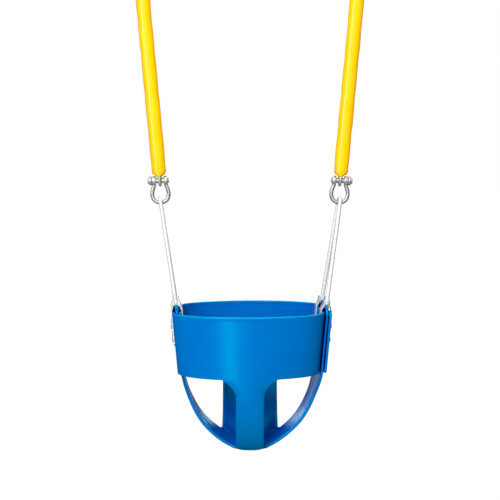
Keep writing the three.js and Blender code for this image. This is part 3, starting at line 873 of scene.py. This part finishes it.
# lower end of the sleeve: z, half width across the plane of the link it closes round
SLEEVE_TIP = [(8.0, 4.7), (8.15, 5.3), (8.5, 5.9), (9.2, 6.5), (10.0, 6.9), (10.8, 7.4),
              (11.7, 8.7), (12.5, 10.5), (13.6, 12.1), (15.0, 13.3), (17.0, 14.5), (19.5, 15.2),
              (22.5, 15.6)]
SLEEVE_SIDES = 56
SLEEVE_END_HALF = 14.9      # outer half width in the link's plane, at the ends
SLEEVE_BORE_HALF = 13.55    # least inner half width in the link's plane
LUMP_PITCH = 38.7


def sleeve(name, matrix, phase):
    """Soft dipped sleeve: it swells over the links, and its ends close round a link."""
    start = SLEEVE_TIP[0][0]
    outer = SLEEVE_TIP + [(z, SLEEVE_R) for z in range(26, SLEEVE_TO - 12, 4)]
    outer += [(SLEEVE_TO - (z - start), half) for z, half in reversed(SLEEVE_TIP)]
    inner = [(z, max(half - SLEEVE_WALL, WIRE_R + 0.7)) for z, half in reversed(outer)]
    verts = []
    for row, (z, half_x) in enumerate(outer + inner):
        d = min(z - start, SLEEVE_TO - z)
        half_y = SLEEVE_END_HALF + (SLEEVE_R - SLEEVE_END_HALF) * min(1.0, d / 12)
        half_y -= 0.9 * (1 - d / 3) if d < 3 else 0.0
        inside = row >= len(outer)
        if inside:
            half_y = max(half_y - SLEEVE_WALL, SLEEVE_BORE_HALF)
        fade = min(1.0, d / 14)
        swell = math.cos(math.pi * z / LUMP_PITCH + phase)
        ripple = math.cos(2 * math.pi * z / LUMP_PITCH + phase)
        for k in range(SLEEVE_SIDES):
            t = 2 * math.pi * k / SLEEVE_SIDES
            lump = 0.0
            if not inside:
                lump = fade * (0.30 * math.cos(2 * t) * swell - 0.12 * ripple
                               + 0.10 * math.sin(3 * t + z * 0.043 + phase))
            verts.append(Vector(((half_x + lump) * math.cos(t),
                                 (half_y + lump) * math.sin(t), z)))
    faces = ring_faces(len(outer) + len(inner), SLEEVE_SIDES, closed=True)
    return make_object(name, (verts, faces), "sleeve_vinyl", matrix)


# rivet head: radius, height above the plate
RIVET_HEAD = [(RIVET_R, 0), (6.9, 0.0), (7.2, 0.3), (6.9, 0.9), (6.0, 1.55), (4.6, 2.15),
              (2.8, 2.55), (1.0, 2.7), (0, 2.72)]


def rivet(name, matrix):
    """Rivet along X through both plates, with a head at each end."""
    face = PLATE_X + PLATE_T + 0.15
    profile = [(r, -face - x) for r, x in reversed(RIVET_HEAD)]
    profile += [(r, face + x) for r, x in RIVET_HEAD]
    return sharp_by_angle(make_object(name, lathe_x(profile, 32), "rivet_steel", matrix), 50)


def dress_plate(plate):
    plate.data.materials.clear()
    plate.data.materials.append(MATERIALS["plate_steel"])
    bevel = plate.modifiers.new("edge", "BEVEL")
    bevel.width = 0.0006
    bevel.segments = 2
    bevel.limit_method = "ANGLE"
    bevel.angle_limit = math.radians(35)


# full links: name, place along the chain, whether turned a quarter
LINKS = [
    ("end_link_lower", FIRST_LINK, False),
    ("sleeved_link_lower", FIRST_LINK + LINK_STEP, True),
    ("sleeved_link_upper", LAST_LINK - 2 * LINK_STEP, False),
    ("bare_link_upper", LAST_LINK - LINK_STEP, True),
    ("end_link_upper", LAST_LINK, False),
]


def build_lap_metal(side):
    at_loop = side_turn(side) @ move(BOW_AXIS[0], 0, BOW_AXIS[1]) @ HANG_TURN
    finish_piece(hanger(f"hanger_rod_{side}", at_loop), "seat", f"hanger_{side}")
    # the left side is the right one turned half round, so its local +Y leg is in front
    front_y = -RIVET_Y if side == "right" else RIVET_Y
    for leg, y in (("front", front_y), ("rear", -front_y)):
        for level, z in zip(("upper", "lower"), RIVET_ZS):
            name = f"rivet_{side}_{leg}_{level}"
            place = lap_frame(side) @ move(0, y, z)
            finish_piece(rivet(name + "_fine", place), "seat", name)
        for face in ("inner", "outer"):
            dress_plate(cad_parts[f"plate_{side}_{leg}_{face}"])


def build_shackles(side):
    pin_x, pin_z = LOWER_PIN
    lean = math.atan2(pin_x - BOW_AXIS[0], pin_z - BOW_AXIS[1])
    lower = side_turn(side) @ move(pin_x, 0, pin_z) @ turn(lean, "Y")
    top_x = pin_x + CHAIN_LEN * math.sin(CHAIN_TILT)
    top_z = pin_z + CHAIN_LEN * math.cos(CHAIN_TILT)
    upper = side_turn(side) @ move(top_x, 0, top_z) @ turn(math.pi, "X")
    for prefix, node, place, body in (("shackle", "lower_shackle", lower, f"shackle_{side}"),
                                      ("top", "top_shackle", upper, "beam_hardware")):
        for part, make in (("bow", bow), ("pin", pin)):
            piece = make(f"{prefix}_{part}_{side}_fine", place)
            finish_piece(piece, body, f"{node}_{part}_{side}")


def build_chain(side):
    chain = side_turn(side) @ move(LOWER_PIN[0], 0, LOWER_PIN[1]) @ turn(CHAIN_TILT, "Y")
    body = f"chain_{side}"
    for name, z, turned in LINKS:
        place = chain @ move(0, 0, z)
        if turned:
            place = place @ QUARTER_TURN
        shape = link_shape(arc_steps=18, sides=20, straight_parts=(0.33, 0.66))
        link = make_object(f"{name}_{side}_fine", shape, "chain_steel", place)
        finish_piece(link, body, f"{name}_{side}")
    run = inner_links(f"chain_links_{side}_fine", chain)
    finish_piece(run, body, f"chain_core_{side}")
    cover = sleeve(f"sleeve_{side}_fine", chain, phase=0.0 if side == "left" else 1.3)
    finish_piece(cover, body, f"chain_sleeve_{side}")


for side in ("left", "right"):
    build_lap_metal(side)
    build_shackles(side)
    build_chain(side)


# ---- studio, metres ----
WORLD_LIGHT = 0.38          # share of the world's light that diffuse surfaces receive
FRONT_CARD = 1.4            # brightness of the soft card at the front left
REAR_CARD = 1.3             # brightness of the card behind
FLOOR_Z = -0.9
FLOOR_HALF = 40
CAMERA_DISTANCE = 2.0
CAMERA_HEIGHT = 0.620
VIEW_WIDTH = 1.075          # width seen at the seat
SENSOR_WIDTH = 36.0


def floor_material():
    """Even and pale to the camera, with a little shading near the seat; plain diffuse to
    everything else."""
    material = bpy.data.materials.new("floor_pale")
    material.use_nodes = True
    tree = material.node_tree
    tree.nodes.clear()
    diffuse = add(tree, "ShaderNodeBsdfDiffuse", {"Color": (*grey(0.35), 1)})
    glow = add(tree, "ShaderNodeEmission", {"Color": (1, 1, 1, 1), "Strength": 1.02})
    position = add(tree, "ShaderNodeNewGeometry").outputs["Position"]
    distance = add(tree, "ShaderNodeVectorMath", {0: position}, operation="LENGTH")
    # share of glow, rising with the distance from the origin
    share = add(tree, "ShaderNodeMapRange", {
        "Value": distance.outputs["Value"],
        "From Min": 0.5, "From Max": 2.4, "To Min": 0.80, "To Max": 1.0,
    })
    fac = math_node(tree, "MULTIPLY", light_path(tree, "Is Camera Ray"), share.outputs[0])
    mixed = add(tree, "ShaderNodeMixShader",
                {"Fac": fac, 1: diffuse.outputs[0], 2: glow.outputs[0]})
    add(tree, "ShaderNodeOutputMaterial", {"Surface": mixed.outputs[0]})
    return material


def build_floor():
    material = floor_material()
    h = FLOOR_HALF
    corners = [(-h, -h, FLOOR_Z), (h, -h, FLOOR_Z), (h, h, FLOOR_Z), (-h, h, FLOOR_Z)]
    mesh = bpy.data.meshes.new("floor")
    mesh.from_pydata(corners, [], [(0, 1, 2, 3)])
    floor = bpy.data.objects.new("floor", mesh)
    bpy.context.scene.collection.objects.link(floor)
    mesh.materials.append(material)


def build_world():
    """White to the camera; to other rays a graded sky with a front and a rear card."""
    world = bpy.data.worlds.new("studio")
    bpy.context.scene.world = world
    world.use_nodes = True
    tree = world.node_tree
    tree.nodes.clear()
    direction = separate(tree, add(tree, "ShaderNodeTexCoord").outputs["Generated"])
    up = math_node(tree, "ADD", math_node(tree, "MULTIPLY", direction["Z"], 0.5), 0.5)
    sky = ramp(tree, up, [(0.0, grey(0.22)), (0.40, grey(0.10)), (0.60, grey(0.12)),
                          (0.80, grey(0.5)), (1.0, grey(0.95))])
    # how nearly a ray points to the front left
    toward = math_node(tree, "ADD", math_node(tree, "MULTIPLY", direction["X"], -0.40),
                       math_node(tree, "MULTIPLY", direction["Y"], -0.917))
    front = ramp(tree, toward, [(0.30, BLACK), (0.92, grey(FRONT_CARD))])
    rear = ramp(tree, direction["Y"], [(0.90, BLACK), (0.97, grey(REAR_CARD))])
    colour = mix_colours(tree, sky, mix_colours(tree, front, rear, "ADD"), "ADD")
    diffuse_ray = light_path(tree, "Is Diffuse Ray")
    dimming = math_node(tree, "MULTIPLY", diffuse_ray, 1.0 - WORLD_LIGHT)
    strength = math_node(tree, "SUBTRACT", 1.0, dimming)
    lit = add(tree, "ShaderNodeBackground", {"Color": colour, "Strength": strength})
    seen = add(tree, "ShaderNodeBackground", {"Color": (1, 1, 1, 1)})
    mixed = add(tree, "ShaderNodeMixShader", {"Fac": light_path(tree, "Is Camera Ray"),
                                              1: lit.outputs[0], 2: seen.outputs[0]})
    add(tree, "ShaderNodeOutputWorld", {"Surface": mixed.outputs[0]})


def area(name, place, target, size, power, size_y=None):
    data = bpy.data.lights.new(name, "AREA")
    data.energy = power
    data.size = size
    if size_y:
        data.shape = "RECTANGLE"
        data.size_y = size_y
    light = bpy.data.objects.new(name, data)
    light.location = place
    aim = Vector(target) - Vector(place)
    light.rotation_euler = aim.to_track_quat("-Z", "Y").to_euler()
    light.visible_camera = False
    bpy.context.scene.collection.objects.link(light)
    return light


def build_lights():
    sleeves = bpy.data.collections.new("sleeve_light_targets")
    for side in ("left", "right"):
        sleeves.objects.link(bpy.data.objects[f"sleeve_{side}_fine"])
    # front left: reflections only
    strip = area("strip", place=(-0.50, -2.35, 0.10), target=(-0.04, 0, 0.10),
                 size=0.28, size_y=1.9, power=4.0)
    strip.visible_diffuse = False
    # front left, high: no reflections
    key = area("key", place=(-0.6, -2.35, 1.7), target=(0, 0, 0.35),
               size=0.9, size_y=1.4, power=82)
    key.visible_glossy = False
    # reflection along the sleeves
    streak = area("streak", place=(-1.77, -1.94, 0.9), target=(-0.2, 0, 0.9),
                  size=0.8, size_y=2.2, power=62)
    streak.visible_diffuse = False
    streak.light_linking.receiver_collection = sleeves
    area("top", place=(0.0, 0.3, 2.7), target=(0, 0, 0.3), size=1.8, power=7)
    area("rear", place=(0.4, 2.4, 1.1), target=(0, 0, 0.3), size=1.8, power=16)
    # orange light from the right, on the sleeves only
    warm = area("warm", place=(2.2, -0.6, 0.9), target=(0, 0, 0.8),
                size=0.6, size_y=2.0, power=14)
    warm.data.color = (1.0, 0.42, 0.06)
    warm.light_linking.receiver_collection = sleeves


def build_camera():
    """Level camera in front of the seat."""
    data = bpy.data.cameras.new("camera")
    camera = bpy.data.objects.new("camera", data)
    camera.location = (0, -CAMERA_DISTANCE, CAMERA_HEIGHT)
    camera.rotation_euler = (math.pi / 2, 0, 0)
    data.sensor_width = SENSOR_WIDTH
    data.lens = SENSOR_WIDTH * CAMERA_DISTANCE / VIEW_WIDTH
    data.shift_y = -0.188
    data.clip_end = 100
    bpy.context.scene.collection.objects.link(camera)
    bpy.context.scene.camera = camera
    bpy.context.scene.view_settings.view_transform = "Standard"


build_floor()
build_world()
build_lights()
build_camera()
